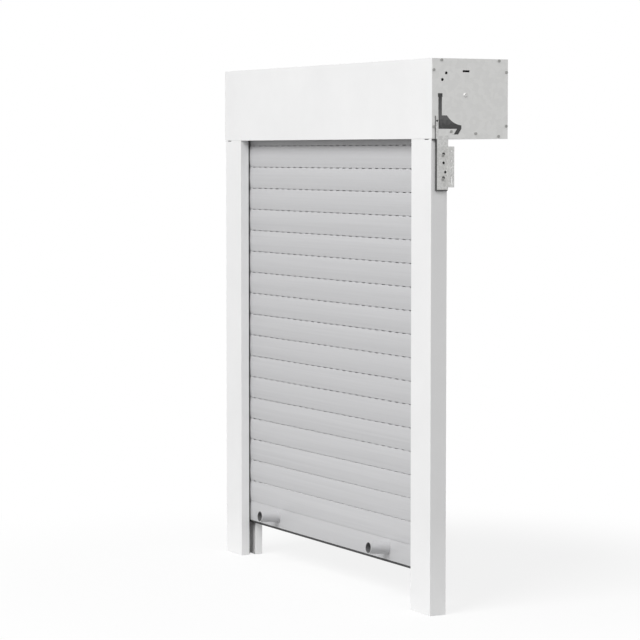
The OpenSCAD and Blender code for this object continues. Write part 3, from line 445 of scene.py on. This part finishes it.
def add_band(mesh, line, x):
    """One strap's free length, swept along the line and square to it."""
    rings = []
    for i, middle in enumerate(line):
        before = line[max(i - 1, 0)]
        after = line[min(i + 1, len(line) - 1)]
        along = (after - before).normalized()
        out = Vector((-along.y, along.x)) * (STRAP_THICKNESS / 2)
        rings.append(add_ring(mesh, x, middle - out, middle + out))
    for ring, following in zip(rings, rings[1:]):
        join_rings(mesh, ring, following)
    mesh.faces.new(rings[0])
    mesh.faces.new(reversed(rings[-1]))


def add_winding(mesh, x):
    """One strap's turn round the tube."""
    axis, flat = winding()
    rings = []
    for i in range(TUBE_SIDES):
        turn = (2 * i + 1) * HALF_SIDE
        corner = Vector((sin(turn), cos(turn))) / cos(HALF_SIDE)
        inner = axis + corner * (flat - STRAP_THICKNESS)
        rings.append(add_ring(mesh, x, inner, axis + corner * flat))
    for i, ring in enumerate(rings):
        join_rings(mesh, rings[i - 1], ring)


def strap_piece(name, mesh):
    """A piece of spring steel that stands for the CAD's straps."""
    bmesh.ops.recalc_face_normals(mesh, faces=mesh.faces)
    data = bpy.data.meshes.new(name)
    mesh.to_mesh(data)
    mesh.free()
    data.materials.append(MATERIALS["spring_steel"])
    piece = add_object(name, data)
    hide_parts("hanger_straps")
    return piece


def make_straps():
    """Straps wound round the tube, and free lengths that reach the clips where they stand when
    the scene is built.
    """
    low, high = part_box("hanger_straps")
    pitch = (high.x - low.x - STRAP_WIDTH) / (STRAP_COUNT - 1)
    line = strap_line()
    bands = bmesh.new()
    windings = bmesh.new()
    for i in range(STRAP_COUNT):
        x = low.x + STRAP_WIDTH / 2 + i * pitch
        add_band(bands, line, x)
        add_winding(windings, x)
    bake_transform(strap_piece("strap_bands", bands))
    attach(strap_piece("strap_windings", windings), "roller")


# Studio

def background_rays(tree):
    """1 for the rays that should see the plain white background, and 0 for the rest."""
    rays = tree.nodes.new("ShaderNodeLightPath").outputs
    total = rays["Is Camera Ray"]
    for kind in ("Is Glossy Ray", "Is Transmission Ray"):
        either = tree.nodes.new("ShaderNodeMath")
        either.operation = "MAXIMUM"
        tree.links.new(total, either.inputs[0])
        tree.links.new(rays[kind], either.inputs[1])
        total = either.outputs["Value"]
    return total


def make_world():
    """A sky that lights the object, and plain white where it is seen."""
    world = bpy.data.worlds.new("studio")
    world.use_nodes = True
    bpy.context.scene.world = world
    tree = world.node_tree
    coords = tree.nodes.new("ShaderNodeTexCoord")
    direction = tree.nodes.new("ShaderNodeSeparateXYZ")
    tree.links.new(coords.outputs["Generated"], direction.inputs["Vector"])
    stops = [(height, grey(share)) for height, share in SKY_SHARES]
    sky = tree.nodes["Background"]
    sky.inputs["Strength"].default_value = SKY_LEVEL
    tree.links.new(ramp(tree, direction.outputs["Z"], stops), sky.inputs["Color"])
    white = tree.nodes.new("ShaderNodeBackground")
    white.inputs["Color"].default_value = PLAIN_WHITE
    white.inputs["Strength"].default_value = WHITE_LEVEL
    surface = mix_shaders(tree, background_rays(tree), sky.outputs["Background"],
                          white.outputs["Background"])
    tree.links.new(surface, tree.nodes["World Output"].inputs["Surface"])


def floor_material():
    """A white floor that keeps the object's shadow: part lit surface, part plain white."""
    material, tree, lit = new_material("studio_floor")
    lit.inputs["Base Color"].default_value = FLOOR_COLOUR
    lit.inputs["Roughness"].default_value = FLOOR_ROUGHNESS
    lit.inputs["Specular IOR Level"].default_value = 0.0
    glow = tree.nodes.new("ShaderNodeEmission")
    glow.inputs["Color"].default_value = PLAIN_WHITE
    glow.inputs["Strength"].default_value = WHITE_LEVEL
    reach = vector_math(tree, "DISTANCE", part_coords(tree), (0, 0, SILL_Z))["Value"]
    share = map_range(tree, reach, FLOOR_FADE, (FLOOR_GLOW, 1.0), "SMOOTHSTEP")
    seen = mix_shaders(tree, share, lit.outputs["BSDF"], glow.outputs["Emission"])
    oval = vector_math(tree, "LENGTH", stretched_coords(tree, BOUNCE_SCALE))["Value"]
    level = map_range(tree, oval, BOUNCE_FADE, FLOOR_BOUNCE, "SMOOTHSTEP")
    bounce = tree.nodes.new("ShaderNodeBsdfDiffuse")
    tree.links.new(level, bounce.inputs["Color"])
    surface = mix_shaders(tree, background_rays(tree), bounce.outputs["BSDF"], seen)
    tree.links.new(surface, tree.nodes["Material Output"].inputs["Surface"])
    return material


def make_floor():
    half = FLOOR_SIZE / 2
    corners = [(x * half, y * half, SILL_Z) for x, y in ((-1, -1), (1, -1), (1, 1), (-1, 1))]
    mesh = bpy.data.meshes.new("studio_floor")
    mesh.from_pydata(corners, [], [(0, 1, 2, 3)])
    mesh.materials.append(floor_material())
    floor = add_object("studio_floor", mesh)


def make_lamp():
    """One large soft lamp in front, above and to the right."""
    lamp = bpy.data.lights.new("key", "AREA")
    lamp.shape = "SQUARE"
    lamp.size = KEY_SIZE
    lamp.energy = KEY_POWER
    holder = add_object("key", lamp)
    holder.location = KEY_PLACE
    holder.rotation_euler = (KEY_TARGET - KEY_PLACE).to_track_quat("-Z", "Y").to_euler()


def make_camera():
    lens = bpy.data.cameras.new("camera")
    lens.lens = CAMERA_LENS
    lens.sensor_width = CAMERA_SENSOR
    camera = add_object("camera", lens)
    camera.location = CAMERA_PLACE
    camera.rotation_euler = (LEVEL_VIEW - CAMERA_PITCH_DOWN, 0, CAMERA_YAW)
    bpy.context.scene.camera = camera


dress_nodes()
make_straps()
make_world()
make_floor()
make_lamp()
make_camera()
bpy.context.scene.view_settings.view_transform = "Standard"
